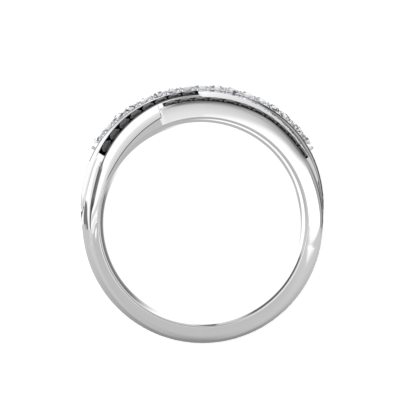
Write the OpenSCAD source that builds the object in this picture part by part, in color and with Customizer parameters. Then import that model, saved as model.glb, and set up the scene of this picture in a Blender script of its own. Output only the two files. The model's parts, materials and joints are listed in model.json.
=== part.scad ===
// Crossover ring, lying on its side.
// The ring is drawn round the Z axis with its crown towards +Y and its near face up. It is
// then tipped into the pose in which it rests on its wide crown and the bottom of its shank.
// The far half is the near half turned half a turn about the line through the crown.

/* [Finger hole] */
// Inside diameter of the ring, which is the finger size
bore_d = 17.3; // [15:0.1:21]
// Rounding where the finger hole meets the side faces
rim_round = 0.27; // [0.15:0.01:0.35]

/* [Band] */
// Wall from the finger hole to the rails of the middle row, at the crown
crown_wall = 2.67; // [2.5:0.01:3]
// Wall from the finger hole to the outside of the shank
shank_wall = 1.5; // [1.3:0.05:1.7]
// Width of the ring along the finger, at the crown
crown_width = 7; // [6.9:0.05:7.8]
// Width of the shank along the finger
shank_width = 3.8; // [3.4:0.1:4.4]
// Distance that the side face leans in from its rim to its outer edge
side_lean = 0.12; // [0.05:0.01:0.2]

/* [Crossing band] */
// Width of the seam between the crossing band and the middle strand
seam_w = 0.1; // [0.06:0.01:0.14]
// Depth of the seam between the crossing band and the middle strand
seam_depth = 0.15; // [0.08:0.01:0.2]
// Distance that the side face lies back under the edge of the crossing band
tuck = 0.12; // [0.06:0.01:0.2]

/* [Middle row] */
// Number of clear stones
clear_count = 17; // [13:2:17]
// Girdle diameter of a clear stone
clear_d = 1.2; // [1.1:0.01:1.24]
// Free space between two neighbouring clear stones
clear_gap = 0.09; // [0.08:0.01:0.12]
// Height of the girdles of the clear stones above the rails
clear_lift = 0.27; // [0.24:0.01:0.32]
// Width of the middle row with its two rails
row_width = 1.3; // [1.24:0.02:1.4]
// Thickness of each rail of the middle row
row_rail = 0.2; // [0.16:0.01:0.24]
// Depth of the groove between the rails of the middle row
row_depth = 0.36; // [0.34:0.01:0.45]
// Bevel on the outer edge of each rail
row_bevel = 0.05; // [0.03:0.01:0.07]
// Diameter of a bead prong
prong_d = 0.3; // [0.24:0.01:0.32]
// Height of the bead prongs above the rails
prong_rise = 0.37; // [0.33:0.01:0.44]
// Depth of the prongs' roots below the floor of the groove
prong_root = 0.05; // [0.03:0.01:0.1]
// Extra distance of the last prongs from the end stones
prong_end = 0.26; // [0.1:0.01:0.3]

/* [Black rows] */
// Girdle diameter of a black stone
black_d = 1.1; // [0.95:0.01:1.12]
// Free space on each side of a black stone in its channel
black_clearance = 0.03; // [0.02:0.01:0.05]
// Depth of the girdles of the black stones below the edges of their channel
black_sink = 0.06; // [0.03:0.01:0.08]
// Depth of the channels
channel_depth = 0.6; // [0.58:0.01:0.66]
// Width of the narrow wall between the middle row and each short row
wall_width = 0.15; // [0.1:0.01:0.2]
// Number of black stones in each short row
short_count = 8; // [5:1:8]
// Free space between two neighbouring stones of a short row
short_gap = 0.12; // [0.1:0.01:0.14]
// Free length of a short channel beyond its end stones
short_end = 0.26; // [0.2:0.01:0.4]
// Width of the flat rail outside each long row
rail_width = 0.3; // [0.2:0.01:0.36]
// Number of black stones in each long row
long_count = 11; // [8:1:11]
// Free space between two neighbouring stones of a long row
long_gap = 0.15; // [0.11:0.01:0.17]
// Free length of a long channel beyond its end stones
long_end = 0.14; // [0.1:0.01:0.3]
// Lean of the long rows towards the side face, in degrees
long_lean = 21; // [18:1:24]

/* [Hidden] */
function clear_name(i) = str("clear_stone_", i < 10 ? "0" : "", i);

bore_r = bore_d / 2;
row_half = row_width / 2;
channel_w = black_d + 2 * black_clearance;
// Metal inside the finger hole's wall, which the drill takes away
stock = 0.4;

// Angles are counted from the crown, positive to the left as the near face shows it.
// The flanks fade into the plain shank over this stretch.
flank_end = 92;
flank_fade = 10;

// Rise of the rails and of the half width from shank to crown, as shares
// angle, wall share, width share
RISE = [
    [0, 1, 1], [30, 0.982, 0.94], [45, 0.888, 0.85], [54, 0.785, 0.77], [60, 0.692, 0.71],
    [70, 0.48, 0.61], [78, 0.299, 0.535], [90, 0.05, 0.43], [96, 0, 0.38], [110, 0, 0.265],
    [130, 0, 0.13], [150, 0, 0.04], [180, 0, 0]
];
// Right flank, as shares of the local wall
// angle, foot of the middle row, outer edge of the long row, outer edge of the side face
RIGHT = [
    [-104, 0.993, 0.9, 0.73], [-90, 0.98, 0.89, 0.742], [-78, 0.865, 0.768, 0.638],
    [-70, 0.864, 0.704, 0.578], [-60, 0.87, 0.636, 0.515], [-54, 0.868, 0.583, 0.492],
    [-45, 0.878, 0.571, 0.476], [-30, 0.917, 0.574, 0.464], [-15, 0.951, 0.562, 0.464],
    [0, 0.959, 0.554, 0.464], [22, 0.945, 0.569, 0.491]
];
// Left flank, as shares of the local wall, with the lean of the short row in degrees
// angle, foot of the middle row, lower edge of the crossing band, lean
LEFT = [
    [0, 0.955, 0.4, 19], [10, 0.951, 0.36, 19], [20, 0.94, 0.305, 22], [30, 0.917, 0.226, 27],
    [40, 0.895, 0.155, 32], [50, 0.85, 0.101, 34], [58, 0.81, 0.072, 34], [70, 0.783, 0.072, 34],
    [80, 0.838, 0.081, 34], [90, 0.97, 0.12, 34], [104, 0.99, 0.13, 34]
];
// Split between the middle strand and the crossing band
// angle, bottom of the strand and top of the band as wall shares, place of both as width share
SPLIT = [
    [56, 0.545, 0.49, 0.555], [60, 0.528, 0.455, 0.6], [70, 0.464, 0.377, 0.66],
    [80, 0.47, 0.372, 0.75], [92, 0.503, 0.485, 0.95], [104, 0.503, 0.49, 0.99]
];
// Directions in which the shank's lines run out, in degrees from the side face to the outside
// on the left and on the right of the shank
SHANK = [
    [79.8, 79.8], [45, 77], [13, 74], [11.5, 71], [9, 69], [5, 67.5], [2.5, 66], [1.2, 64.4],
    [0.9, 58], [0.6, 51], [0.4, 45], [0.2, 28]
];

function mix(a, b, t) = a + (b - a) * t;
function middle(a, b) = (a + b) / 2;
function unit(v) = v / norm(v);
function ramp(x, from, to) = max(0, min(1, (x - from) / (to - from)));
function slope(t, c, i) =
    let (lo = max(i - 1, 0), hi = min(i + 1, len(t) - 1))
    (t[hi][c] - t[lo][c]) / (t[hi][0] - t[lo][0]);
function row_at(t, x, i = 0) = (i >= len(t) - 2 || x <= t[i + 1][0]) ? i : row_at(t, x, i + 1);
// Smooth reading of column c of a table at x
function look(t, c, x) =
    let (
        i = row_at(t, x),
        w = t[i + 1][0] - t[i][0],
        u = ramp(x, t[i][0], t[i + 1][0]),
        v = 1 - u
    )
    t[i][c] * v * v * (1 + 2 * u) + t[i + 1][c] * u * u * (3 - 2 * u)
    + slope(t, c, i) * w * u * v * v - slope(t, c, i + 1) * w * u * u * v;

function wall(s) = mix(shank_wall, crown_wall, look(RISE, 1, abs(s)));
function half(s) = mix(shank_width, crown_width, look(RISE, 2, abs(s))) / 2;
function arc_deg(length, r) = length / r * 180 / PI;

// Points of a section are [place along the finger, height above the finger hole].
function foot(s) =
    [row_half + wall_width, wall(s) * (s < 0 ? look(RIGHT, 1, s) : look(LEFT, 1, s))];
function lean_vec(a) = [cos(a), -sin(a)];
function short_low(s) = foot(s) + channel_w * lean_vec(look(LEFT, 3, s));
function long_low(s) = [half(s) - rail_width, wall(s) * look(RIGHT, 2, s)];
function long_high(s) = long_low(s) - channel_w * lean_vec(long_lean);
function side_edge(s) = [half(s) - side_lean, wall(s) * look(RIGHT, 3, s)];

// Angles of a row of black stones, spaced evenly along the channel
function row_r(long, s) =
    bore_r + (long ? middle(long_high(s), long_low(s)) : middle(foot(s), short_low(s)))[1];
function row_turns(long, s, step, n) =
    n == 0 ? [] : concat([s], row_turns(long, s + arc_deg(step, row_r(long, s)), step, n - 1));

short_from = 2;
short_margin = arc_deg(black_d / 2 + short_end, row_r(false, short_from));
short_turns = row_turns(false, short_from + short_margin, black_d + short_gap, short_count);
short_to = round(short_turns[short_count - 1] + short_margin);
long_to = 19;
long_margin = arc_deg(black_d / 2 + long_end, row_r(true, 0));
long_turns = row_turns(true, long_to - long_margin, -black_d - long_gap, long_count);
long_from = round(long_turns[long_count - 1] - long_margin);

// The side face comes out from under the crossing band between these two.
emerge_from = long_to + 1;
emerge_to = emerge_from + 2;

pitch = arc_deg(clear_d + clear_gap, bore_r + crown_wall + clear_lift);
last_prong = pitch * clear_count / 2 + arc_deg(prong_end, bore_r + crown_wall);
row_to = ceil(last_prong + arc_deg(prong_d / 2, bore_r + crown_wall)) + 1;

// Edges of the crossing band on the left; past the short row it parts from the strand
split_from = max(57, short_to);
function parted(s) = ramp(s, split_from, split_from + 3);
function split_edge(s, c) = [half(s) * look(SPLIT, 3, s), wall(s) * look(SPLIT, c, s)];
function strand_low(s) = mix(short_low(s), split_edge(s, 1), parted(s));
function over_top(s) =
    mix(short_low(s) + [0.8, -1] * seam_w, split_edge(s, 2) + [0.6, 0] * seam_w, parted(s));
function over_low(s) = [half(s), wall(s) * look(LEFT, 2, s)];

// Upper edge of the long row; on the shank it runs up into the middle of the surface
function long_top(s) =
    mix(mix(foot(s), long_low(s), 0.45), long_high(s), ramp(s, long_from - 15, long_from));

// Chain of points from a to b at the given shares of its length; the bulge is a share too
function arc_chain(a, b, bulge, shares) =
    let (d = b - a, n = [-d[1], d[0]])
    [for (f = shares) a + d * f + n * (4 * f * (1 - f) * bulge)];

// Channel floor under the line from a to b; open is 1 in a channel and 0 on a plain surface
function floor_points(a, b, open) =
    let (d = b - a, drop = unit([d[1], -d[0]]) * channel_depth)
    [mix(a + d / 3, a + d * 0.03 + drop, open), mix(a + d * 2 / 3, b - d * 0.03 + drop, open)];
function opened(s, from, to) = min(ramp(s, from, from + 1), 1 - ramp(s, to - 1, to));

// Rounding from the side face into the finger hole
function rim_points(z, top) =
    let (f = min(rim_round, 0.9 * top))
    [[z, f], [z - 0.29 * f, 0.29 * f], [z - 1.05 * f, -0.1 * f], [z - 1.5 * f, -stock]];

// Right flank: foot, crossing band, long row, rail and side face
function right_flank(s) =
    let (f = foot(s), g = long_top(s), h = long_low(s), k = opened(s, long_from, long_to))
    concat(
        [f], arc_chain(f, g, 0.035, [0.2, 0.4, 0.6, 0.72, 0.84, 0.93]), [g],
        floor_points(g, h, k), [h], [side_edge(s)]
    );

// Left flank: foot, short row or strand, seam, crossing band, and the side face tucked under
function left_flank(s) =
    let (
        f = foot(s),
        m = strand_low(s),
        t = over_top(s),
        l = over_low(s),
        u = ramp(s, split_from, split_from + 6),
        floor = floor_points(f, m, opened(s, short_from, short_to))
    )
    concat(
        [
            f,
            mix(floor[0], middle(f, m) + [1.1, 1] * seam_depth, u),
            mix(floor[1], m + [0.2, 0.33] * seam_depth, u),
            m - [0.67, 0.33] * seam_depth * u,
            t
        ],
        arc_chain(t, l, 0.09, [0.3, 0.65]),
        [l],
        [for (f = [0.4, 0.65, 0.8, 1]) l - [1, 0.3] * tuck * f]
    );

// Near flank, twelve points from the foot of the middle row to the top of the side face
function near_flank(s) =
    s <= 0 ? right_flank(s) :
    s >= emerge_to ? left_flank(s) :
    let (
        left = left_flank(s),
        right = right_flank(s),
        a = ramp(s, short_from - 1, short_from),
        b = ramp(s, emerge_from, emerge_to),
        top = mix(right[4], left[4], a),
        g = mix(long_top(s), left[7], b)
    )
    concat(
        [for (i = [0:3]) mix(right[i], left[i], a)], [top],
        arc_chain(top, g, 0.09, [0.35, 0.7]), [g],
        [for (i = [8:11]) mix(right[i], left[i], b)]
    );

// Shank section, a soft rectangle
function shank_point(s, a) =
    let (f = rim_round)
    [half(s) * sqrt(cos(a)), f + (wall(s) - f) * sqrt(sin(a))];

// Near half of a section, from the middle of the crown into the finger hole
function near_half(s) =
    let (
        w = wall(s),
        plain = ramp(abs(s), flank_end, flank_end + flank_fade),
        right = ramp(s > 0 ? s : s + 360, flank_end + flank_fade, 360 - flank_end - flank_fade),
        shank = [for (a = SHANK) shank_point(s, mix(a[0], a[1], right))],
        flank = plain < 1 ? near_flank(s) : shank,
        outer = [for (i = [0:11]) mix(flank[i], shank[i], plain)],
        deep = row_depth * (1 - ramp(abs(s), row_to - 1, row_to)),
        inner = row_half - row_rail,
        z_rim = half(s) - tuck * ramp(s, emerge_from, emerge_to) * (1 - plain)
    )
    concat(
        [
            [0, w - deep],
            [inner - row_bevel, w - deep],
            [inner, w],
            [row_half - row_bevel, w],
            [row_half, w - 0.8 * row_bevel]
        ],
        outer,
        rim_points(z_rim, outer[11][1])
    );

// Whole section: near half, then the far half, which is the other side's near half turned over
function section(s) =
    let (n = near_half(s), f = near_half(-s), last = len(n) - 1)
    concat([for (i = [last:-1:0]) n[i]], [for (i = [1:last]) [-f[i][0], f[i][1]]]);
function place(s, p) = [-(bore_r + p[1]) * sin(s), (bore_r + p[1]) * cos(s), p[0]];

// Angles of the sections: close together on the crown, and at both sides of each abrupt end
ENDS = [
    short_from, short_from + 1, short_to - 1, short_to, long_to - 1, long_to, -long_from - 1,
    -long_from, row_to - 1, row_to
];
function spacing(a) = a <= 64 ? 2 : a <= 96 ? 4 : 6;
function is_end(a) = len([for (e = ENDS) if (e == a) e]) > 0;
TURNS = [for (a = [-179:180]) if (abs(a) % spacing(abs(a)) == 0 || is_end(abs(a))) a];
SECTIONS = [for (s = TURNS) section(s)];
BODY = [for (j = [0:len(TURNS) - 1]) for (p = SECTIONS[j]) place(TURNS[j], p)];
BODY_FACES = let (n = len(SECTIONS[0]), m = len(TURNS)) [
    for (j = [0:m - 1]) for (i = [0:n - 1])
        let (
            a = j * n + i,
            b = j * n + (i + 1) % n,
            c = ((j + 1) % m) * n + (i + 1) % n,
            d = ((j + 1) % m) * n + i
        )
        each [[a, c, b], [a, d, c]]
];

// Shares of the girdle diameter in a cut stone
table_share = 0.56;
crown_share = 0.15;
pavilion_share = 0.43;
girdle_share = 0.025;
function ring_of(r, z, n, first = 0) =
    [for (i = [0:n - 1]) let (a = first + 360 * i / n) [r * cos(a), r * sin(a), z]];

// Resting pose: the ring is tipped about X until crown and shank reach equally low
function low(t, side) = min([for (p = BODY) if (p[1] * side > 0) p[1] * sin(t) + p[2] * cos(t)]);
function level(lo, hi, n = 14) =
    let (t = middle(lo, hi))
    n == 0 ? t : low(t, 1) > low(t, -1) ? level(lo, t, n - 1) : level(t, hi, n - 1);
tilt = level(0, 12);
lift = -min(low(tilt, 1), low(tilt, -1));
table_r = bore_r + crown_wall + clear_lift + crown_share * clear_d;
y_high = table_r * cos(tilt) + table_share / 2 * clear_d * sin(tilt);
y_low = min([for (p = BODY) p[1] * cos(tilt) - p[2] * sin(tilt)]);

module rest() {
    translate([0, -middle(y_high, y_low), lift])
    rotate([tilt, 0, 0])
    children();
}

// Round brilliant: table, stars, kites, upper halves, girdle and pavilion
module brilliant(d, at, ex, ey, ez) {
    r = d / 2;
    g = girdle_share * d / 2;
    points = concat(
        ring_of(r * table_share, crown_share * d, 8, 22.5),
        ring_of(r * 0.78, crown_share * d * 0.56, 8),
        ring_of(r, g, 16),
        ring_of(r, -g, 16),
        [[0, 0, -pavilion_share * d]]
    );
    faces = concat(
        [[for (i = [7:-1:0]) i]],
        [for (i = [0:7]) [i, (i + 1) % 8, 8 + (i + 1) % 8]],
        [for (i = [0:7]) [i, 8 + (i + 1) % 8, 17 + 2 * i]],
        [for (i = [0:7]) [i, 17 + 2 * i, 8 + i]],
        [for (i = [0:7]) [8 + i, 17 + 2 * i, 16 + 2 * i]],
        [for (i = [0:7]) [8 + i, 16 + 2 * i, 16 + (2 * i + 15) % 16]],
        [for (i = [0:15]) [16 + i, 16 + (i + 1) % 16, 32 + (i + 1) % 16, 32 + i]],
        [for (i = [0:15]) [32 + i, 32 + (i + 1) % 16, 48]]
    );
    polyhedron([for (p = points) at + p[0] * ex + p[1] * ey + p[2] * ez], faces);
}

// Plain cut: table, eight crown facets, girdle and eight pavilion facets
module plain_cut(d, at, ex, ey, ez) {
    r = d / 2;
    g = girdle_share * d / 2;
    points = concat(
        ring_of(r * table_share, crown_share * d, 8, 22.5),
        ring_of(r, g, 8, 22.5),
        ring_of(r, -g, 8, 22.5),
        [[0, 0, -pavilion_share * d]]
    );
    faces = concat(
        [[for (i = [7:-1:0]) i]],
        [for (a = [0, 8]) for (i = [0:7]) [a + i, a + (i + 1) % 8, a + 8 + (i + 1) % 8, a + 8 + i]],
        [for (i = [0:7]) [16 + i, 16 + (i + 1) % 8, 24]]
    );
    polyhedron([for (p = points) at + p[0] * ex + p[1] * ey + p[2] * ez], faces);
}

// Row of black stones in a channel of the near face
function edges(long, s) = long ? [long_high(s), long_low(s)] : [foot(s), short_low(s)];
function channel_mid(long, s) = let (e = edges(long, s)) place(s, middle(e[0], e[1]));
module black_row(long, turns) {
    for (s = turns) {
        e = edges(long, s);
        ex = unit(channel_mid(long, s - 1) - channel_mid(long, s + 1));
        ez = unit(cross(ex, place(s, e[0]) - place(s, e[1])));
        plain_cut(black_d, channel_mid(long, s) - ez * black_sink, ex, cross(ez, ex), ez);
    }
}

// Bead prong: a stem with a ball on top
module prong(s, z) {
    foot_r = bore_r + wall(s) - row_depth - prong_root;
    bead_r = bore_r + wall(s) + prong_rise - prong_d / 2;
    rotate([0, 0, s])
    translate([0, 0, z])
    rotate([-90, 0, 0]) {
        translate([0, 0, foot_r])
        cylinder(d = 0.88 * prong_d, h = bead_r - foot_r, $fn = 24);
        translate([0, 0, bead_r])
        sphere(d = prong_d, $fn = 24);
    }
}

module prongs() {
    for (i = [0:clear_count]) {
        s = i == 0 ? -last_prong : i == clear_count ? last_prong : pitch * (i - clear_count / 2);
        prong(s, row_half - row_rail);
        prong(s, row_rail - row_half);
    }
}

module band() {
    color("gainsboro")
    rest()
    difference() {
        union() {
            polyhedron(BODY, BODY_FACES, convexity = 8);
            prongs();
        }
        cylinder(d = bore_d, h = 2 * crown_width, center = true, $fn = 180);
    }
}

module clear_stone(i) {
    s = pitch * ((clear_count + 1) / 2 - i);
    up = place(s, [0, 1]) - place(s, [0, 0]);
    color("white")
    rest()
    brilliant(clear_d, place(s, [0, wall(s) + clear_lift]), [0, 0, 1], cross(up, [0, 0, 1]), up);
}

module black_short_near() {
    color("dimgray")
    rest()
    black_row(false, short_turns);
}

module black_long_near() {
    color("dimgray")
    rest()
    black_row(true, long_turns);
}

module black_short_far() {
    color("dimgray")
    rest()
    rotate([0, 180, 0])
    black_row(false, short_turns);
}

module black_long_far() {
    color("dimgray")
    rest()
    rotate([0, 180, 0])
    black_row(true, long_turns);
}

band();
for (i = [1:clear_count]) clear_stone(i);
black_short_near();
black_long_near();
black_short_far();
black_long_far();
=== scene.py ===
import bpy
import json
import math
from mathutils import Matrix, Vector


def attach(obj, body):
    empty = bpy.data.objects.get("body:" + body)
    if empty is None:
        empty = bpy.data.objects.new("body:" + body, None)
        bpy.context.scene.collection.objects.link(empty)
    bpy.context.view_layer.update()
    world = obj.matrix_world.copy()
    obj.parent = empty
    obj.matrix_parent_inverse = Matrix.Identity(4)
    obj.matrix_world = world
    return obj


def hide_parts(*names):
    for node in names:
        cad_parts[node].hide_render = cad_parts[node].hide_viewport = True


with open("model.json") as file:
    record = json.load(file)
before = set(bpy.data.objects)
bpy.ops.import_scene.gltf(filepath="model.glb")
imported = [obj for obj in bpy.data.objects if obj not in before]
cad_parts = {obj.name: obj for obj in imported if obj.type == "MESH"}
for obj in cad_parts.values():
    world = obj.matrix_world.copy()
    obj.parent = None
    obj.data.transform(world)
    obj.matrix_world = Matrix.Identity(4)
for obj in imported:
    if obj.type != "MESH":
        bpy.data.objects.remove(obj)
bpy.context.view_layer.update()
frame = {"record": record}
mm = 0.001

# The ring lies on its side. Its finger hole says where it is and how far it leans.
hole = next(m for m in frame["record"]["mounts"] if m["name"] == "finger_hole")
lean = math.atan2(-hole["axis"][1], hole["axis"][2])
lying = Matrix.Translation(hole["pos_m"]) @ Matrix.Rotation(lean, 4, "X") @ Matrix.Scale(mm, 4)

# Camera, placed from the ring: sizes in mm, up is towards the crown. Clip distances are in metres.
view = {"eye": (-5, 0, 130), "target": (0.484, 1.273, 0), "lens": 132.52, "sensor": 36, "clip": (0.005, 20)}


def addCamera():
    eye = lying @ Vector(view["eye"])
    ahead = (lying @ Vector(view["target"]) - eye).normalized()
    crownWards = (lying.to_3x3() @ Vector((0, 1, 0))).normalized()
    right = ahead.cross(crownWards).normalized()
    up = right.cross(ahead)
    bpy.ops.object.camera_add(location=eye)
    camera = bpy.context.object
    camera.name = "camera"
    camera.rotation_euler = Matrix((right, up, -ahead)).transposed().to_euler()
    camera.data.lens = view["lens"]
    camera.data.sensor_width = view["sensor"]
    camera.data.clip_start, camera.data.clip_end = view["clip"]
    bpy.context.scene.camera = camera


addCamera()
print("camera set")


class Wire:  # a node's socket that shader maths can be written with
    def __init__(self, tree, socket=None):
        self.tree, self.socket = tree, socket

    def node(self, kind, settings=None, sockets=None, out=0):
        made = self.tree.nodes.new(kind)
        for name, value in (settings or {}).items():
            if name == "stops":
                ramp = made.color_ramp.elements
                while len(ramp) < len(value):
                    ramp.new(0.5)
                for stop, (place, colour) in zip(ramp, value):
                    stop.position, stop.color = place, (*colour, 1)
            else:
                setattr(made, name, value)
        for name, value in (sockets or {}).items():
            if isinstance(value, Wire):
                self.tree.links.new(value.socket, made.inputs[name])
            else:
                made.inputs[name].default_value = value
        return Wire(self.tree, made.outputs[out])

    def maths(self, operation, other, swapped=False):
        first, second = (other, self) if swapped else (self, other)
        return self.node("ShaderNodeMath", {"operation": operation}, {0: first, 1: second})

    def __add__(self, other):
        return self.maths("ADD", other)

    def __radd__(self, other):
        return self.maths("ADD", other, True)

    def __sub__(self, other):
        return self.maths("SUBTRACT", other)

    def __rsub__(self, other):
        return self.maths("SUBTRACT", other, True)

    def __mul__(self, other):
        return self.maths("MULTIPLY", other)

    def __rmul__(self, other):
        return self.maths("MULTIPLY", other, True)

    def __truediv__(self, other):
        return self.maths("DIVIDE", other)

    def __pow__(self, other):
        return self.maths("POWER", other)

    def away(self, value):  # distance from a value
        return (self - value).maths("ABSOLUTE", 0)

    def between(self, low, high):  # 0 below low and 1 above high, soft in between
        ends = {"Value": self, "From Min": low, "From Max": high}
        return self.node("ShaderNodeMapRange", {"interpolation_type": "SMOOTHSTEP"}, ends)

    def part(self, axis):
        return self.node("ShaderNodeSeparateXYZ", None, {0: self}, "XYZ".index(axis))

    def blend(self, first, second):  # self is the share of the second colour
        return self.node("ShaderNodeMix", {"data_type": "RGBA"}, {0: self, 6: first, 7: second}, 2)


def newMaterial(shaderAt):  # shaderAt gives back the shader for a place on the piece
    material = bpy.data.materials.new(shaderAt.__name__)
    material.use_nodes = True
    tree = material.node_tree
    tree.nodes.clear()
    shader = shaderAt(Wire(tree).node("ShaderNodeTexCoord", out=3))
    output = tree.nodes.new("ShaderNodeOutputMaterial")
    tree.links.new(shader.socket, output.inputs["Surface"])
    return material


# Polished white gold: faint polishing haze, and painted shade in grooves, creases, channel floors and along
# the rails, by the mesh's mark
goldLook = {
    "colour": (0.90, 0.90, 0.905, 1), "rough": 0.035, "haze": 0.05,
    "hazeGrain": {"Scale": 900, "Detail": 3, "Roughness": 0.6},
    "scratchGrain": {"Scale": 9000, "Detail": 2}, "scratch": {"Strength": 0.02, "Distance": 0.00002},
    # painted shade colours: crease grey where the mark is light, deep near black where it is strongest
    "paintedCreaseShade": (0.22, 0.22, 0.23, 1), "paintedCreaseShadeFrom": (0.32, 0.45),
    "deep": (0.035, 0.035, 0.038, 1), "paintedDeepShadeFrom": (0.65, 0.75),
}


def whiteGold(place):
    haze = place.node("ShaderNodeTexNoise", None, {"Vector": place, **goldLook["hazeGrain"]})
    scratches = place.node("ShaderNodeTexNoise", None, {"Vector": place, **goldLook["scratchGrain"]})
    # the mesh's deep mark says how much painted shade each place gets
    paintedShadeMark = place.node("ShaderNodeAttribute", {"attribute_name": "deep"}, out=2)
    groove = paintedShadeMark.between(*goldLook["paintedDeepShadeFrom"]).blend(goldLook["paintedCreaseShade"], goldLook["deep"])
    colour = paintedShadeMark.between(*goldLook["paintedCreaseShadeFrom"]).blend(goldLook["colour"], groove)
    rough = haze * goldLook["haze"] + (goldLook["rough"] - goldLook["haze"] / 2)
    bump = place.node("ShaderNodeBump", None, {"Height": scratches, **goldLook["scratch"]})
    return place.node(
        "ShaderNodeBsdfPrincipled", None,
        {"Base Color": colour, "Metallic": 1.0, "Roughness": rough, "Normal": bump},
    )


clearLook = {
    "white": (0.97, 0.98, 1.0, 1), "paintedDarkFlash": (0.12, 0.125, 0.14, 1), "cells": 4500, "paintedDarkFlashFrom": (0.15, 0.45),
    "gloss": {"Roughness": 0.0, "IOR": 2.0, "Transmission Weight": 0.35, "Emission Strength": 0.2},
}


def clearStone(place):  # painted flashes of light and dark, as small facets show them, repeated by a pattern of cells, and a faint painted glow of the same colour
    cells = place.node("ShaderNodeTexVoronoi", None, {"Vector": place, "Scale": clearLook["cells"]}, 1)
    colour = cells.part("X").between(*clearLook["paintedDarkFlashFrom"]).blend(clearLook["paintedDarkFlash"], clearLook["white"])
    return place.node(
        "ShaderNodeBsdfPrincipled", None,
        {"Base Color": colour, "Emission Color": colour, **clearLook["gloss"]},
    )


blackLook = {
    "colour": (0.012, 0.012, 0.013, 1), "bright": (0.03, 0.03, 0.032, 1), "brightFrom": (0.45, 0.75),
    "cloud": {"Scale": 2200, "Detail": 3}, "gloss": {"Roughness": 0.06, "IOR": 1.45},
}


def blackStone(place):
    cloud = place.node("ShaderNodeTexNoise", None, {"Vector": place, **blackLook["cloud"]})
    colour = cloud.between(*blackLook["brightFrom"]).blend(blackLook["colour"], blackLook["bright"])
    return place.node("ShaderNodeBsdfPrincipled", None, {"Base Color": colour, **blackLook["gloss"]})


looks = {"gold": newMaterial(whiteGold), "clear": newMaterial(clearStone), "black": newMaterial(blackStone)}
print("materials made")


def deselectAll():
    if bpy.context.object and bpy.context.object.mode != "OBJECT":
        bpy.ops.object.mode_set(mode="OBJECT")
    bpy.ops.object.select_all(action="DESELECT")


def finishPiece(piece, name, finish, node):
    piece.name = piece.data.name = name
    piece.data.materials.clear()
    piece.data.materials.append(looks[finish])
    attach(piece, "root")
    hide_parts(node)


# Band: sizes in mm. Angles count from the crown, positive to the left as the near face shows it.
band = {
    "boreWide": 17.3, "rimRound": 0.27, "crownWall": 2.67, "shankWall": 1.5, "crownWidth": 7,
    "shankWidth": 3.8, "sideLean": 0.12,
    # the crossing band: the seam above it, the step below it, and where it parts from the strand
    "seam": 0.1, "seamLean": 0.8, "splitLean": 0.6, "seamDepth": 0.15,
    "tuck": 0.12, "tuckSteps": (0.4, 0.65, 0.8, 1), "tuckDrop": 0.3, "tuckFade": (62, 76),
    "emerge": (21, 22), "splitFrom": 57, "splitFade": 3, "grooveFade": 6,
    "grooveShape": ((1.1, 1), (0.2, 0.33), (-0.67, -0.33)),
    # where the crown turns into the shank, and the painted shade lines beside the middle row: their width,
    # how much of the wall they take at most, and where they end
    "flankEnd": 92, "flankFade": 10, "railPaintedShade": (0.11, 0.05), "railPaintedShadeMost": 0.85,
    "railPaintedShadeEnds": (-78, 62),
    # swell of the flanks between their edges, and the places along them
    "sideSwell": 0.035, "sidePlaces": (0.2, 0.4, 0.6, 0.72, 0.84, 0.93),
    "crossSwell": 0.09, "crossPlaces": (0.3, 0.65), "emergePlaces": (0.35, 0.7),
    # angle, rise of the wall, rise of the width, as shares
    "rise": (
        (0, 1, 1), (30, 0.982, 0.94), (45, 0.888, 0.85), (54, 0.785, 0.77), (60, 0.692, 0.71),
        (70, 0.48, 0.61), (78, 0.299, 0.535), (90, 0.05, 0.43), (96, 0, 0.38), (110, 0, 0.265),
        (130, 0, 0.13), (150, 0, 0.04), (180, 0, 0),
    ),
    # flank right of the crown: angle, foot of the middle row, outer edge of the long row,
    # edge of the side face
    "right": (
        (-104, 0.993, 0.9, 0.73), (-90, 0.98, 0.89, 0.742), (-78, 0.865, 0.768, 0.638),
        (-70, 0.864, 0.704, 0.578), (-60, 0.87, 0.636, 0.515), (-54, 0.868, 0.583, 0.492),
        (-45, 0.878, 0.571, 0.476), (-30, 0.917, 0.574, 0.464), (-15, 0.951, 0.562, 0.464),
        (0, 0.959, 0.554, 0.464), (22, 0.945, 0.569, 0.491),
    ),
    # flank left of the crown: angle, foot of the middle row, lower edge of the crossing band,
    # lean of the row
    "left": (
        (0, 0.955, 0.4, 19), (10, 0.951, 0.36, 19), (20, 0.94, 0.305, 22), (30, 0.917, 0.226, 27),
        (40, 0.895, 0.155, 32), (50, 0.85, 0.101, 34), (58, 0.81, 0.072, 34), (70, 0.783, 0.072, 34),
        (80, 0.838, 0.081, 34), (90, 0.97, 0.12, 34), (104, 0.99, 0.13, 34),
    ),
    # split: angle, bottom of the middle strand, top of the crossing band, place across the width
    "split": (
        (56, 0.545, 0.49, 0.555), (60, 0.528, 0.455, 0.6), (70, 0.464, 0.377, 0.66),
        (80, 0.47, 0.372, 0.75), (92, 0.503, 0.485, 0.95), (104, 0.503, 0.49, 0.99),
    ),
    # shank: directions of its lines from the side face outwards, on the left and on the right
    "shank": (
        (79.8, 79.8), (45, 77), (13, 74), (11.5, 71), (9, 69), (5, 67.5), (2.5, 66), (1.2, 64.4),
        (0.9, 58), (0.6, 51), (0.4, 45), (0.2, 28),
    ),
}
# Points nearer than merge are one, and corners up to smoothTo degrees are shaded smooth
wrap = {"merge": 0.0005, "smoothTo": 38}
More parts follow.
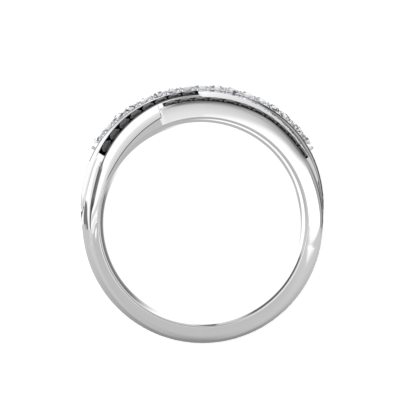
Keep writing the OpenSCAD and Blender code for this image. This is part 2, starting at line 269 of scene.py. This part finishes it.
# How far corners are rounded in mm, and how dark the painted shade in creases and grooves is
corner = {
    "sharp": 0.025, "soft": 0.5, "foot": 0.05, "lip": 0.04, "worn": 0.12, "split": 0.1, "rail": 0.02,
    "line": 0.01, "rim": 0.15, "steps": 3, "rimSteps": 7, "paintedCreaseShade": 0.6, "paintedSplitShade": 0.41,
}
middleRow = {
    "count": 17, "stone": 1.2, "gap": 0.09, "lift": 0.27, "width": 1.3, "rail": 0.2, "depth": 0.36,
    "bevel": 0.05, "bevelDrop": 0.8, "fade": (2, 12), "bead": 0.3, "beadRise": 0.37, "beadEnd": 0.26,
    "beadSegments": 24, "beadRings": 12, "beadCut": 0.45, "stemCut": 0.4, "beadSmoothTo": 50,
}
blackRows = {
    "stone": 1.1, "clearance": 0.03, "sink": 0.06, "channel": 0.6, "draft": 0.03, "wall": 0.15,
    "shortCount": 8, "shortGap": 0.12, "shortEnd": 0.26, "shortFrom": 2,
    "longCount": 11, "longGap": 0.15, "longEnd": 0.14, "longTo": 19,
    "rail": 0.3, "lean": 21, "longRise": 15, "longPlace": 0.45, "longFade": (12, 3),
}
boreR = band["boreWide"] / 2
crownR = boreR + band["crownWall"]
rowHalf = middleRow["width"] / 2
channelW = blackRows["stone"] + 2 * blackRows["clearance"]


def mix(a, b, t):
    return tuple(p + (q - p) * t for p, q in zip(a, b)) if isinstance(a, tuple) else a + (b - a) * t


def ramp(x, start, end):
    return max(0.0, min(1.0, (x - start) / (end - start)))


def readTable(table, column, x):  # smooth reading of one column of a table
    table = band[table]
    last = len(table) - 1
    i = 0
    while i < last - 1 and x > table[i + 1][0]:
        i += 1

    def slope(k):
        low, high = max(k - 1, 0), min(k + 1, last)
        return (table[high][column] - table[low][column]) / (table[high][0] - table[low][0])

    wide = table[i + 1][0] - table[i][0]
    u = ramp(x, table[i][0], table[i + 1][0])
    v = 1 - u
    return (
        table[i][column] * v * v * (1 + 2 * u) + table[i + 1][column] * u * u * (3 - 2 * u)
        + slope(i) * wide * u * v * v - slope(i + 1) * wide * u * u * v
    )


def wall(s):
    return mix(band["shankWall"], band["crownWall"], readTable("rise", 1, abs(s)))


def halfWidth(s):
    return mix(band["shankWidth"], band["crownWidth"], readTable("rise", 2, abs(s))) / 2


def arcTurn(length, radius):
    return math.degrees(length / radius)


def shift(p, z, h):
    return p[0] + z, p[1] + h


# Points of a section are (place along the finger, height above the finger hole).
def foot(s):
    return rowHalf + blackRows["wall"], wall(s) * readTable("right" if s < 0 else "left", 1, s)


def tilted(p, angle, length):
    a = math.radians(angle)
    return shift(p, length * math.cos(a), -length * math.sin(a))


def shortLow(s):
    return tilted(foot(s), readTable("left", 3, s), channelW)


def longLow(s):
    return halfWidth(s) - blackRows["rail"], wall(s) * readTable("right", 2, s)


def longHigh(s):
    return tilted(longLow(s), blackRows["lean"], -channelW)


def lane(isLong, s):  # upper and lower edge of a row of black stones
    return (longHigh(s), longLow(s)) if isLong else (foot(s), shortLow(s))


def rowR(isLong, s):
    high, low = lane(isLong, s)
    return boreR + (high[1] + low[1]) / 2


def rowTurns(isLong, s, step, count):  # angles of a row of black stones, even along the channel
    turns = []
    for _ in range(count):
        turns.append(s)
        s += arcTurn(step, rowR(isLong, s))
    return turns


blackR = blackRows["stone"] / 2
shortMargin = arcTurn(blackR + blackRows["shortEnd"], rowR(False, blackRows["shortFrom"]))
shortStep = blackRows["stone"] + blackRows["shortGap"]
shortTurns = rowTurns(False, blackRows["shortFrom"] + shortMargin, shortStep, blackRows["shortCount"])
shortTo = round(shortTurns[-1] + shortMargin)
longMargin = arcTurn(blackR + blackRows["longEnd"], rowR(True, 0))
longStep = blackRows["stone"] + blackRows["longGap"]
longTurns = rowTurns(True, blackRows["longTo"] - longMargin, -longStep, blackRows["longCount"])
longFrom = round(longTurns[-1] - longMargin)
pitch = arcTurn(middleRow["stone"] + middleRow["gap"], crownR + middleRow["lift"])
lastBead = pitch * middleRow["count"] / 2 + arcTurn(middleRow["beadEnd"], crownR)
rowTo = math.ceil(lastBead + arcTurn(middleRow["bead"] / 2, crownR)) + 1


def splitEdge(s, column):
    return halfWidth(s) * readTable("split", 3, s), wall(s) * readTable("split", column, s)


def parted(s):
    return ramp(s, band["splitFrom"], band["splitFrom"] + band["splitFade"])


def strandLow(s):
    return mix(shortLow(s), splitEdge(s, 1), parted(s))


def overTop(s):
    w = band["seam"]
    whole = shift(shortLow(s), band["seamLean"] * w, -w)
    return mix(whole, shift(splitEdge(s, 2), band["splitLean"] * w, 0), parted(s))


def longTop(s):
    plain = mix(foot(s), longLow(s), blackRows["longPlace"])
    return mix(plain, longHigh(s), ramp(s, longFrom - blackRows["longRise"], longFrom))


def arcChain(a, b, swell, shares):
    dz, dh = b[0] - a[0], b[1] - a[1]
    rises = [(f, 4 * f * (1 - f) * swell) for f in shares]
    return [shift(a, dz * f - dh * rise, dh * f + dz * rise) for f, rise in rises]


def floorPoints(a, b, opened):  # channel floor under the line from a to b
    dz, dh = b[0] - a[0], b[1] - a[1]
    k = blackRows["channel"] / math.hypot(dz, dh)

    def along(share, depth):
        return shift(a, dz * share + dh * depth, dh * share - dz * depth)

    draft = blackRows["draft"]
    flat, deep = (along(1 / 3, 0), along(2 / 3, 0)), (along(draft, k), along(1 - draft, k))
    return [mix(p, q, opened) for p, q in zip(flat, deep)]


def isOpen(s, start, end):
    return min(ramp(s, start, start + 1), 1 - ramp(s, end - 1, end))


def edged(points, rounding, dark):  # adds to each point how far its corner is rounded and how much painted shade it gets
    return [(*p, r, d) for p, r, d in zip(points, rounding, dark)]


def rightFlank(s):
    f, g, h, k = foot(s), longTop(s), longLow(s), isOpen(s, longFrom, blackRows["longTo"])
    sharp, soft, worn = corner["sharp"], corner["soft"], corner["worn"]
    fadeFrom, fadeTo = blackRows["longFade"]
    onShank = 1 - ramp(s, longFrom - fadeFrom, longFrom - fadeTo)
    sideEdge = halfWidth(s) - band["sideLean"], wall(s) * readTable("right", 3, s)
    chain = arcChain(f, g, band["sideSwell"], band["sidePlaces"])
    rounding = [corner["foot"]] + [soft] * len(chain) + [mix(sharp, soft, onShank), sharp, sharp]
    rounding += [mix(sharp, worn, onShank), mix(corner["lip"], worn, onShank)]
    # painted shade: in the crease at the foot of the middle row, fading out towards the shank, and on the
    # long black row's channel floor
    dark = [corner["paintedCreaseShade"] * (1 - onShank)] + [0] * (len(chain) + 1) + [k, k, 0, 0]
    return edged([f, *chain, g, *floorPoints(g, h, k), h, sideEdge], rounding, dark)


def tuck(s):  # how far the side steps in below the crossing band
    return band["tuck"] * (1 - ramp(s, *band["tuckFade"]))


def leftFlank(s):
    f, m, t = foot(s), strandLow(s), overTop(s)
    l = halfWidth(s), wall(s) * readTable("left", 2, s)
    u = ramp(s, band["splitFrom"], band["splitFrom"] + band["grooveFade"])
    d = band["seamDepth"]
    k = isOpen(s, blackRows["shortFrom"], shortTo)
    floor = floorPoints(f, m, k)
    half = (f[0] + m[0]) / 2, (f[1] + m[1]) / 2

    def inGroove(p, i, share=1):  # a point of the groove between the strand and the crossing band
        z, h = band["grooveShape"][i]
        return shift(p, z * d * share, h * d * share)

    points = [
        f,
        mix(floor[0], inGroove(half, 0), u),
        mix(floor[1], inGroove(m, 1), u),
        inGroove(m, 2, u),
        t,
        *arcChain(t, l, band["crossSwell"], band["crossPlaces"]),
        l,
        *[shift(l, -tuck(s) * step, -band["tuckDrop"] * band["tuck"] * step) for step in band["tuckSteps"]],
    ]
    sharp, soft, edge = corner["sharp"], corner["soft"], corner["foot"]
    rounding = [edge, mix(sharp, soft, u), mix(sharp, corner["split"], u), sharp]
    rounding += [edge, soft, soft, corner["lip"]] + [sharp] * 4
    # painted shade: in the crease at the foot of the middle row until the strand parts, on the short black
    # row's channel floor, in the groove where the strand parts from the crossing band, and under the
    # crossing band's step, fading as the step fades
    paintedCreaseShade = corner["paintedCreaseShade"]
    split, under = mix(paintedCreaseShade, corner["paintedSplitShade"], u), paintedCreaseShade * (1 - ramp(s, *band["tuckFade"]))
    dark = [paintedCreaseShade * (1 - u), k, max(k, split * u), split, split, 0, 0] + [under] * 5
    return edged(points, rounding, dark)


def nearFlank(s):
    if s <= 0:
        return rightFlank(s)
    left = leftFlank(s)
    if s >= band["emerge"][1]:
        return left
    right = rightFlank(s)
    a = ramp(s, blackRows["shortFrom"] - 1, blackRows["shortFrom"])
    b = ramp(s, *band["emerge"])
    top = mix(right[4], left[4], a)
    g = mix((*longTop(s), corner["sharp"], 0), left[7], b)
    chain = arcChain(top, g, band["crossSwell"], band["emergePlaces"])
    return [
        *[mix(right[i], left[i], a) for i in range(4)],
        top, *edged(chain, [corner["soft"]] * 2, (0, 0)), g,
        *[mix(right[i], left[i], b) for i in range(8, 12)],
    ]


def shankPoint(s, angle):
    a, f = math.radians(angle), band["rimRound"]
    z, h = halfWidth(s) * math.sqrt(math.cos(a)), f + (wall(s) - f) * math.sqrt(math.sin(a))
    return z, h, corner["soft"], 0


def nearHalf(s):  # from the middle of the crown to the edge of the finger hole
    w, soft, bevel = wall(s), corner["soft"], middleRow["bevel"]
    shankFrom = band["flankEnd"] + band["flankFade"]
    plain = ramp(abs(s), band["flankEnd"], shankFrom)
    right = ramp(s if s > 0 else s + 360, shankFrom, 360 - shankFrom)
    shank = [shankPoint(s, mix(a, b, right)) for a, b in band["shank"]]
    flank = nearFlank(s) if plain < 1 else shank
    outer = [mix(p, q, plain) for p, q in zip(flank, shank)]
    # the middle row's groove; its floor is also marked for near-black painted shade
    groove = 1 - ramp(abs(s), rowTo - 1, rowTo)
    floor, inner = w - middleRow["depth"] * groove, rowHalf - middleRow["rail"]
    fadeFrom, fadeTo = middleRow["fade"]
    edge = mix(corner["rail"], soft, ramp(abs(s), rowTo + fadeFrom, rowTo + fadeTo))
    top, after = (rowHalf, w - middleRow["bevelDrop"] * bevel), outer[0][:2]
    # a thin painted shade line on the rail's outer wall, just below its top
    drop = min(band["railPaintedShade"][0 if s < 0 else 1] / math.dist(top, after), band["railPaintedShadeMost"])
    line = corner["paintedCreaseShade"] * isOpen(s, *band["railPaintedShadeEnds"])
    return [
        (0, floor, soft, groove),
        (inner - bevel, floor, edge, groove),
        (inner, w, edge, 0),
        (rowHalf - bevel, w, edge, 0),
        (*top, edge, line),
        (*mix(top, after, drop), corner["line"], line),
        (*mix(top, after, (1 + drop) / 2), corner["line"], 0),
        *outer,
        (halfWidth(s) - tuck(s) * ramp(s, *band["emerge"]) * (1 - plain), 0, corner["rim"], 0),
    ]


def section(s):  # near half, then the other side's near half turned over, then the finger hole's wall
    near, far = nearHalf(s), nearHalf(-s)
    return near[::-1] + [(-z, h, r, d) for z, h, r, d in far[1:]] + [(0, 0, corner["soft"], 0)]


def softened(corners):  # each corner becomes a short curve, at most to the middles of its sides
    points = []
    count = len(corners)
    for i in range(count):
        z, h, rounding, dark = corners[i]
        ends = []
        for j in (i - 1, (i + 1) % count):
            dz, dh = corners[j][0] - z, corners[j][1] - h
            k = min(rounding / (math.hypot(dz, dh) + 1e-9), 0.5)
            ends.append((z + dz * k, h + dh * k, (dark + corners[j][3]) / 2))
        steps = corner["rimSteps"] if i in (0, count - 2) else corner["steps"]
        for step in range(steps + 1):
            t = step / steps
            a, b, c = (1 - t) ** 2, 2 * t * (1 - t), t * t
            points.append(tuple(a * p + b * q + c * r for p, q, r in zip(ends[0], (z, h, dark), ends[1])))
    return points


def place(s, p):  # from a section's point to the ring's own space, in mm
    a = math.radians(s)
    return Vector((-(boreR + p[1]) * math.sin(a), (boreR + p[1]) * math.cos(a), p[0]))


def wrapBand():
    turns = list(range(-180, 181))
    sections = [softened(section(s if s > -180 else 180)) for s in turns]
    deselectAll()
    bpy.ops.mesh.primitive_grid_add(x_subdivisions=len(sections[0]), y_subdivisions=len(turns) - 1, size=2)
    piece = bpy.context.object
    points, dark = [], []
    for s, line in zip(turns, sections):
        for p in line + line[:1]:
            points.extend(place(s, p))
            dark.append(p[2])
    piece.data.vertices.foreach_set("co", points)
    # the painted shade of each point goes onto the mesh as its deep mark
    piece.data.attributes.new("deep", "FLOAT", "POINT").data.foreach_set("value", dark)
    bpy.ops.object.mode_set(mode="EDIT")
    bpy.ops.mesh.select_all(action="SELECT")
    bpy.ops.mesh.remove_doubles(threshold=wrap["merge"])
    bpy.ops.mesh.dissolve_degenerate(threshold=wrap["merge"])
    bpy.ops.mesh.normals_make_consistent(inside=False)
    bpy.ops.object.mode_set(mode="OBJECT")
    piece.data.transform(lying)
    bpy.ops.object.shade_smooth_by_angle(angle=math.radians(wrap["smoothTo"]))
    bpy.ops.object.modifier_add(type="WEIGHTED_NORMAL")
    piece.modifiers[0].keep_sharp = True
    bpy.ops.object.modifier_apply(modifier=piece.modifiers[0].name)
    return piece


bandPiece = wrapBand()
finishPiece(bandPiece, "bandMetal", "gold", "band")
print("band wrapped:", len(bandPiece.data.polygons), "faces")

# Round brilliant, in shares of its girdle diameter. The tip and merge are in mm, flatTo in degrees.
cut = {
    "table": 0.56, "crown": 0.15, "star": 0.78, "girdle": 0.0125, "pavilion": 0.43, "halves": 0.23,
    "tip": 0.001, "merge": 0.002, "flatTo": 0.5,
}


def cutBrilliant(diameter):
    r = 0.5
    crownSlope = (cut["crown"] - cut["girdle"]) / (r * (1 - cut["table"]))
    pavilionSlope = (cut["pavilion"] - cut["girdle"]) / r
    half = 360 / 16
    side = math.cos(math.radians(half))
    rings = [  # corners, radius, height, first angle
        (8, r * cut["table"], cut["crown"], half),
        (8, r * cut["star"], cut["crown"] - crownSlope * r * (cut["star"] * side - cut["table"]), 0),
        (16, r, cut["girdle"], 0),
        (16, r, -cut["girdle"], 0),
        (8, r * cut["halves"], -cut["pavilion"] + pavilionSlope * r * cut["halves"] * side, 0),
    ]
    deselectAll()
    tip = 0, 0, -cut["pavilion"] * diameter
    bpy.ops.mesh.primitive_circle_add(vertices=3, radius=cut["tip"], location=tip)
    stone = bpy.context.object
    stone.data.transform(stone.matrix_world)
    stone.matrix_world = Matrix.Identity(4)
    bpy.ops.object.mode_set(mode="EDIT")
    for corners, radius, height, first in rings:
        bpy.ops.mesh.primitive_circle_add(
            vertices=corners, radius=radius * diameter, location=(0, 0, height * diameter),
            rotation=(0, 0, math.radians(first)),
        )
    bpy.ops.mesh.select_all(action="SELECT")
    bpy.ops.mesh.remove_doubles(threshold=cut["merge"])
    bpy.ops.mesh.convex_hull()
    bpy.ops.mesh.select_all(action="SELECT")
    bpy.ops.mesh.dissolve_limited(angle_limit=math.radians(cut["flatTo"]))
    bpy.ops.mesh.normals_make_consistent(inside=False)
    bpy.ops.object.mode_set(mode="OBJECT")
    bpy.ops.object.shade_flat()
    return stone


def copyTo(pattern, centre, ex, ey, ez):
    deselectAll()
    pattern.select_set(True)
    bpy.context.view_layer.objects.active = pattern
    bpy.ops.object.duplicate()
    piece = bpy.context.object
    turn = Matrix((ex, ey, ez)).transposed().to_4x4()
    piece.data.transform(lying @ Matrix.Translation(centre) @ turn)
    return piece


def standOn(pattern, s, p):  # a copy that stands up from the finger hole
    along, up = Vector((0, 0, 1)), place(s, (0, 1)) - place(s, (0, 0))
    return copyTo(pattern, place(s, p), along, up.cross(along), up)


def joined(pieces):
    deselectAll()
    for piece in pieces:
        piece.select_set(True)
    bpy.context.view_layer.objects.active = pieces[0]
    bpy.ops.object.join()
    return pieces[0]


def setClearStones():
    pattern = cutBrilliant(middleRow["stone"])
    for i in range(1, middleRow["count"] + 1):
        s = pitch * ((middleRow["count"] + 1) / 2 - i)
        stone = standOn(pattern, s, (0, wall(s) + middleRow["lift"]))
        finishPiece(stone, "clearBrilliant%02d" % i, "clear", "clear_stone_%02d" % i)
    bpy.data.objects.remove(pattern)


setClearStones()
print("clear stones set")


def blackRow(name, node, isLong, turns, isFar):
    pattern = cutBrilliant(blackRows["stone"])
    stones = []
    flip = Matrix.Rotation(math.pi, 3, "Y") if isFar else Matrix.Identity(3)

    def middle(s):
        high, low = lane(isLong, s)
        return place(s, ((high[0] + low[0]) / 2, (high[1] + low[1]) / 2))

    for s in turns:
        high, low = lane(isLong, s)
        ex = (middle(s - 1) - middle(s + 1)).normalized()
        ez = ex.cross(place(s, high) - place(s, low)).normalized()
        centre = middle(s) - ez * blackRows["sink"]
        stones.append(copyTo(pattern, flip @ centre, flip @ ex, flip @ ez.cross(ex), flip @ ez))
    bpy.data.objects.remove(pattern)
    finishPiece(joined(stones), name, "black", node)


blackRow("blackShortNear", "black_short_near", False, shortTurns, False)
blackRow("blackLongNear", "black_long_near", True, longTurns, False)
blackRow("blackShortFar", "black_short_far", False, shortTurns, True)
blackRow("blackLongFar", "black_long_far", True, longTurns, True)
print("black rows set")


def setBeads():  # one bead prong on its stem, then a pair of copies at each gap of the middle row
    r = middleRow["bead"] / 2
    deselectAll()
    bpy.ops.mesh.primitive_uv_sphere_add(
        segments=middleRow["beadSegments"], ring_count=middleRow["beadRings"], radius=r
    )
    bead = bpy.context.object
    bpy.ops.object.mode_set(mode="EDIT")
    bpy.ops.mesh.select_all(action="SELECT")
    bpy.ops.mesh.bisect(
        plane_co=(0, 0, -middleRow["beadCut"] * r), plane_no=(0, 0, 1), use_fill=True, clear_inner=True
    )
    stem = middleRow["beadRise"] + middleRow["depth"] - middleRow["stemCut"] * r
    bpy.ops.mesh.extrude_region_move(TRANSFORM_OT_translate={"value": (0, 0, -stem)})
    bpy.ops.object.mode_set(mode="OBJECT")
    bpy.ops.object.shade_smooth_by_angle(angle=math.radians(middleRow["beadSmoothTo"]))
    beads = []
    count = middleRow["count"]
    for i in range(count + 1):
        s = -lastBead if i == 0 else lastBead if i == count else pitch * (i - count / 2)
        for side in (-1, 1):
            z, h = side * (rowHalf - middleRow["rail"]), wall(s) + middleRow["beadRise"] - r
            beads.append(standOn(bead, s, (z, h)))
    bpy.data.objects.remove(bead)
    finishPiece(joined(beads), "beadProngs", "gold", "band")


setBeads()
print("beads set")

# Studio: a white table in a light tent. Places on the table are in mm from the ring's axis, x right and
# y to the crown, and rise is the share of a direction that points to the crown.
# Pairs of numbers say where something starts and where it is full.
floorLook = {  # the table as the eye sees it: even cloth, a painted white glow inside the finger hole, and a painted contact shadow line at its lower left
    "wide": 3.0, "cloth": 1.45, "axisDrop": 0.55, "holeEdge": (8.68, 8.75), "paintedHoleGlow": 1.05,
    "paintedContactShadow": (8.42, 8.55), "paintedContactShadowStrength": 0.8, "paintedContactShadowSide": (-6.5, -3.0), "paintedContactShadowTop": (1.5, 5.5),
}
paintedReflections = {  # the table as the metal sees it: painted reflections, lighter and darker patches that glow on it
    "outside": (8.9, 9.3), "rightSide": (-1.0, 2.0), "left": 1.12,
    "right": ((0, 1.0), (5, 0.85), (10, 0.75), (15, 0.6), (20, 0.45), (30, 0.36), (60, 0.22)),
    "dark": (14, 18), "darkRise": (0.15, 0.35), "darkGlow": 0.09,
    "barNear": (12.3, 13.1), "barFar": (23, 27), "barRise": (0.17, 0.2), "barGlow": 0.2,
    "lowLeft": (-0.03, 0.0), "lowRight": (-0.16, -0.1),
    "low": ((-1, 0.29), (-0.9, 0.32), (-0.7, 0.45), (-0.45, 0.56), (-0.26, 0.6), (0, 0.62), (1, 0.62)),
    # painted reflections inside the ring
    "inHole": 0.48, "inHoleLow": 0.62, "inHoleRise": (-0.1, 0.2),
    "dimFrom": (8.59, 7.9), "dimSoft": 0.02, "dimGlow": 0.12,
    "dimRise": -0.6, "dimRiseLeft": (0.85, 0.95), "dimRiseRight": (0.25, 0.35),
    "upper": (8.54, 8.6), "upperRise": (0.2, 0.45), "upperSide": (-4.0, -1.0), "upperGlow": 1.15,
    "ringDrop": 0.4, "ringRadius": 8.36, "ringSoft": (0.14, 0.24), "ringGlow": 1.15,
    "ringGap": (-0.95, 0.31), "ringGapSoft": (0.1, 0.45),
}
# Directions into the tent are the ring's own: x right, y to the crown, z to the viewer.
tent = {
    # brightness of its left and right sides by z, and of its lower part by y
    "left": (
        (-1, 1.2), (-0.35, 1.2), (-0.1, 0.97), (0.05, 0.84), (0.18, 0.76), (0.3, 0.7), (0.42, 0.8),
        (0.52, 0.95), (0.6, 1.1), (0.76, 1.1), (0.86, 0.93), (1, 0.93),
    ),
    "right": (
        (-1, 1.0), (-0.45, 0.75), (-0.2, 0.25), (0.05, 0.13), (0.2, 0.28), (0.32, 0.45), (0.38, 0.52),
        (0.5, 0.48), (0.85, 0.35), (0.92, 0.5), (0.945, 0.7), (0.97, 0.85), (1, 0.9),
    ),
    "low": (
        (-1, 0.33), (-0.85, 0.38), (-0.7, 0.42), (-0.6, 0.44), (-0.5, 0.46), (-0.4, 0.49), (-0.3, 0.53),
        (-0.2, 0.56), (0, 0.57), (1, 0.57),
    ),
    "sides": (-0.35, -0.15), "lowSides": (0.02, 0.3), "lowSidesGlow": 0.12, "lowMost": 0.66,
    # upper edge of the lower part: on the left by the distance from straight ahead, on the right by x
    "edgeSoft": 0.025, "edgeSides": (-0.1, -0.05), "leftEdge": (-0.17, 0.16), "leftEdgeFar": (0.5, 0.7),
    "rightEdge": (-0.0025, -0.75), "rightEdgeLeast": -0.235,
    # lamp, side light and lens: middle, edge, brightness
    "discs": (
        ((0.13, -0.1), (0.262, 0.345), 1.15),
        ((0.4, -0.2), (0.12, 0.22), 1.3),
        ((0.06, 0), (0.12, 0.18), 0.58),
    ),
    "front": (0.0, 0.2), "tableLight": 1.8,
}


def over(under, mask, top):
    return under + mask * (top - under)


def graded(value, stops, low=-1, high=1):  # brightness at a value between low and high
    share, most = (value - low) * (1 / (high - low)), 6
    shade = [((v - low) / (high - low), (glow / most,) * 3) for v, glow in stops]
    return share.node("ShaderNodeValToRGB", {"stops": shade}, {0: share}).part("X") * most


def size(x, y):
    return (x * x + y * y) ** 0.5


def paintedReflectionGlow(x, y):  # glow of the painted reflections on the table, as the metal sees it
    far = size(x, y)
    rise = y / far
    isRight = x.between(*paintedReflections["rightSide"])
    bar = far.between(*paintedReflections["barNear"]) * (1 - far.between(*paintedReflections["barFar"]))
    left = over(paintedReflections["left"], bar * (1 - rise.between(*paintedReflections["barRise"])), paintedReflections["barGlow"])
    dark = x.between(*paintedReflections["dark"]) * (1 - rise.between(*paintedReflections["darkRise"]))
    right = over(graded(x, paintedReflections["right"], 0, 60), dark, paintedReflections["darkGlow"])
    isHigh = over(rise.between(*paintedReflections["lowLeft"]), isRight, rise.between(*paintedReflections["lowRight"]))
    outer = over(graded(rise, paintedReflections["low"]), isHigh, over(left, isRight, right))
    inner = over(paintedReflections["inHoleLow"], rise.between(*paintedReflections["inHoleRise"]), paintedReflections["inHole"])
    spread = [over(a, isRight, b) for a, b in zip(paintedReflections["dimRiseLeft"], paintedReflections["dimRiseRight"])]
    dim = 1 - rise.away(paintedReflections["dimRise"]).between(*spread)
    edge = over(paintedReflections["dimFrom"][0], isRight, paintedReflections["dimFrom"][1])
    dim = dim * (far - edge).between(-paintedReflections["dimSoft"], paintedReflections["dimSoft"])
    inner = over(inner, dim, paintedReflections["dimGlow"])
    upper = far.between(*paintedReflections["upper"]) * rise.between(*paintedReflections["upperRise"])
    inner = over(inner, upper * x.between(*paintedReflections["upperSide"]), paintedReflections["upperGlow"])
    ring = 1 - size(x, y + paintedReflections["ringDrop"]).away(paintedReflections["ringRadius"]).between(*paintedReflections["ringSoft"])
    gapX, gapY = paintedReflections["ringGap"]
    ring = ring * (1 - ((x * gapX + y * gapY) / far).between(*paintedReflections["ringGapSoft"]))
    return over(over(inner, ring, paintedReflections["ringGlow"]), far.between(*paintedReflections["outside"]), outer)


def paleTablePaintedGlow(place):  # the metal sees painted reflections glowing on the table that the eye doesn't
    x, y = place.part("X") * (1 / mm), place.part("Y") * (1 / mm) + floorLook["axisDrop"]
    glow = paintedReflectionGlow(x, y)
    metal = place.node("ShaderNodeEmission", None, {"Color": glow})
    cloth = place.node("ShaderNodeBsdfDiffuse", None, {"Color": (floorLook["cloth"],) * 3 + (1,)})
    far = size(x, y)
    # painted contact shadow: a thin dark line round the finger hole's edge on its lower left
    lowLeft = (1 - x.between(*floorLook["paintedContactShadowSide"])) * (1 - y.between(*floorLook["paintedContactShadowTop"]))
    paintedContactShadow = far.between(*floorLook["paintedContactShadow"]) * lowLeft * floorLook["paintedContactShadowStrength"]
    white = place.node("ShaderNodeEmission", None, {"Color": over(floorLook["paintedHoleGlow"], paintedContactShadow, 0)})
    # inside the finger hole the table glows white for the eye, painted light in place of the ring's shade
    inHole = 1 - far.between(*floorLook["holeEdge"])
    eye = place.node("ShaderNodeMixShader", None, {0: inHole, 1: cloth, 2: white})
    isSeen = place.node("ShaderNodeLightPath")
    return place.node("ShaderNodeMixShader", None, {0: isSeen, 1: metal, 2: eye})


def layFloor():
    deselectAll()
    bpy.ops.mesh.primitive_plane_add(size=floorLook["wide"])
    floor = bpy.context.object
    floor.name = "floor"
    floor.data.materials.append(newMaterial(paleTablePaintedGlow))


def lightRoom():
    world = bpy.data.worlds.new("studioRoom")
    bpy.context.scene.world = world
    world.use_nodes = True
    tree = world.node_tree
    tree.nodes.clear()
    ahead = {"Vector": Wire(tree).node("ShaderNodeTexCoord"), "Angle": -lean}
    ahead = Wire(tree).node("ShaderNodeVectorRotate", {"rotation_type": "X_AXIS"}, ahead)
    x, y, z = ahead.part("X"), ahead.part("Y"), ahead.part("Z")
    glow = over(graded(z, tent["left"]), x.between(*tent["sides"]), graded(z, tent["right"]))
    front = z.between(*tent["front"])
    for middle, edge, brightness in tent["discs"]:
        away = size(x - middle[0], y - middle[1])
        glow = over(glow, (1 - away.between(*edge)) * front, brightness)
    low = graded(y, tent["low"]) + x.away(0).between(*tent["lowSides"]) * tent["lowSidesGlow"]
    low = low.maths("MINIMUM", tent["lowMost"])
    start, rise = tent["leftEdge"]
    leftEdge = size(x, y).between(*tent["leftEdgeFar"]) * rise + start
    start, slope = tent["rightEdge"]
    rightEdge = (x * slope + start).maths("MAXIMUM", tent["rightEdgeLeast"])
    edge = over(leftEdge, x.between(*tent["edgeSides"]), rightEdge)
    glow = over(glow, 1 - (y - edge).between(-tent["edgeSoft"], tent["edgeSoft"]), low)
    onCloth = Wire(tree).node("ShaderNodeLightPath", out=2)  # light that the cloth gets
    glow = glow * (onCloth * (tent["tableLight"] - 1) + 1)
    light = glow.node("ShaderNodeBackground", None, {"Color": (1, 1, 1, 1), "Strength": glow})
    output = tree.nodes.new("ShaderNodeOutputWorld")
    tree.links.new(light.socket, output.inputs["Surface"])
    bpy.context.scene.view_settings.view_transform = "Standard"


layFloor()
lightRoom()
print("studio lit")
